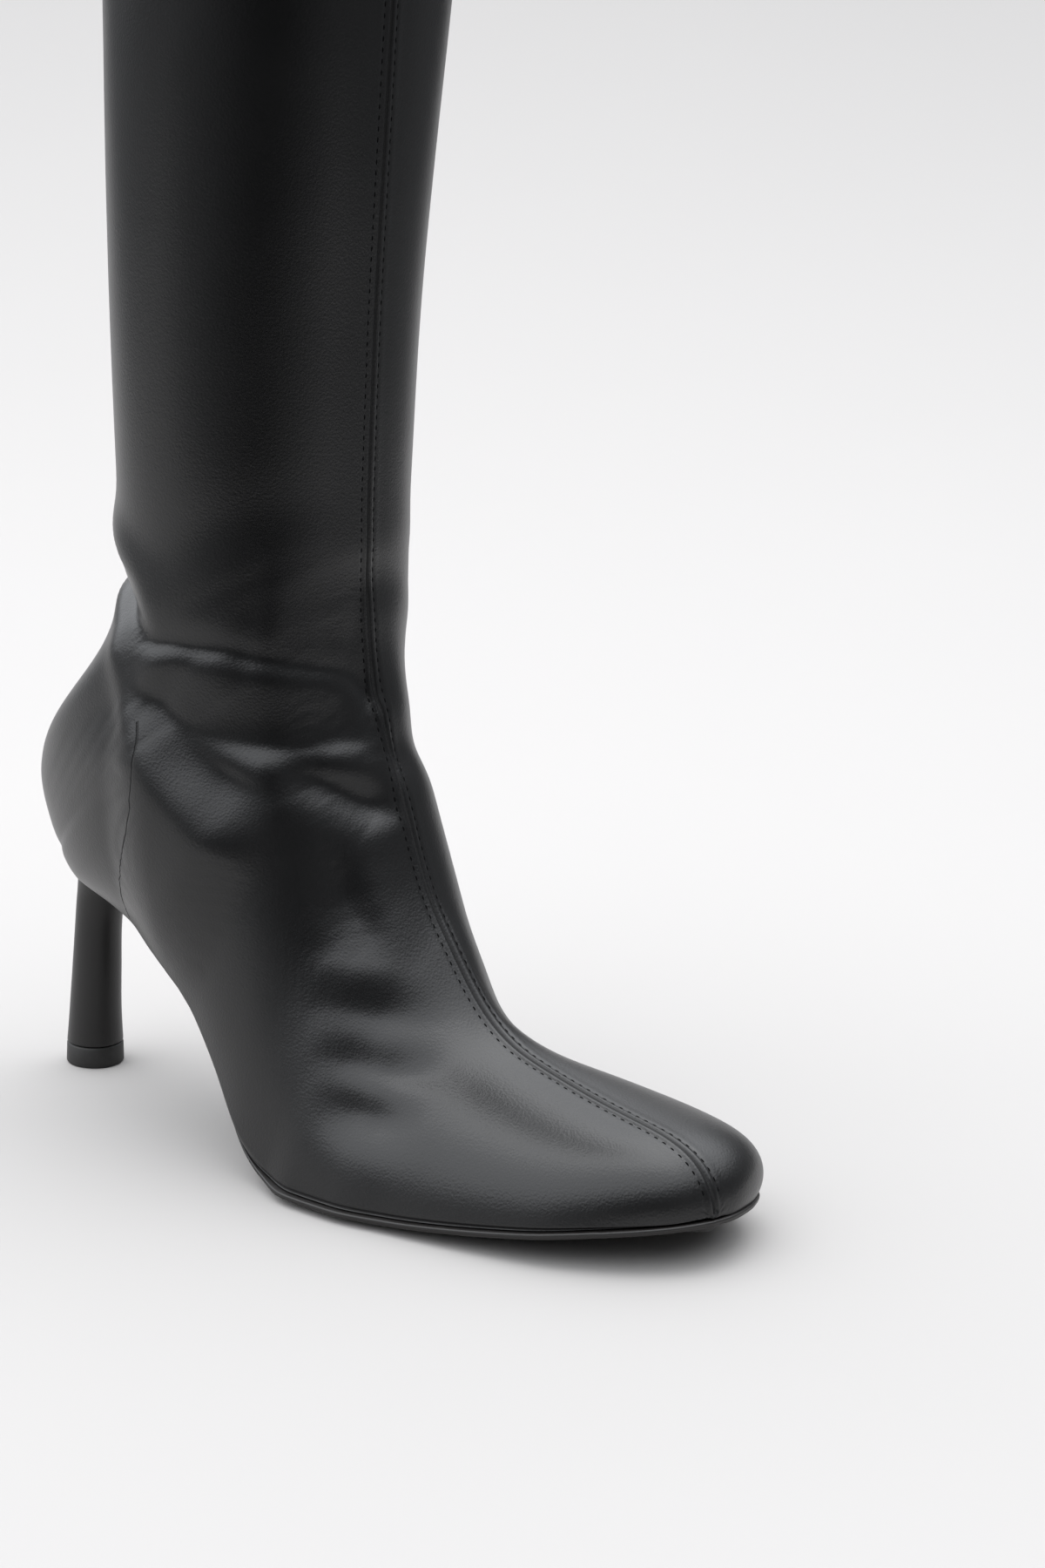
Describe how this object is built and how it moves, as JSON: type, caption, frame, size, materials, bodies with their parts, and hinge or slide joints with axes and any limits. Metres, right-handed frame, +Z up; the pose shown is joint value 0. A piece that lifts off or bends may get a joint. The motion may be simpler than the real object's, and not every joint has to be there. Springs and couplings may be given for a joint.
{
  "type": "stretch boot",
  "caption": "Right tall pull-on stretch boot: soft hollow upper with a stitched front seam and folded ankle, rounded toe, thin outsole and a slim high heel.",
  "frame": {"origin": "On the floor, at the middle of the top lift's flat underside, under the heel.", "axes": "+X runs forward from the heel to the toe, +Y to the wearer's left, which is the boot's inner side, and +Z up the shaft."},
  "size_m": [0.2235, 0.1014, 0.4551],
  "materials": {
    "stretch_skin": "black stretch faux leather, fine grain, soft satin",
    "sole_black": "dark thin sole, satin edge",
    "insole_board": "dark lined board",
    "heel_cover": "black heel cover, satin",
    "lift_rubber": "black wearing piece, matt"
  },
  "bodies": {
    "root": {"upper": "stretch_skin", "insole": "insole_board", "outsole": "sole_black", "heel": "heel_cover", "top_lift": "lift_rubber"}
  },
  "joints": []
}
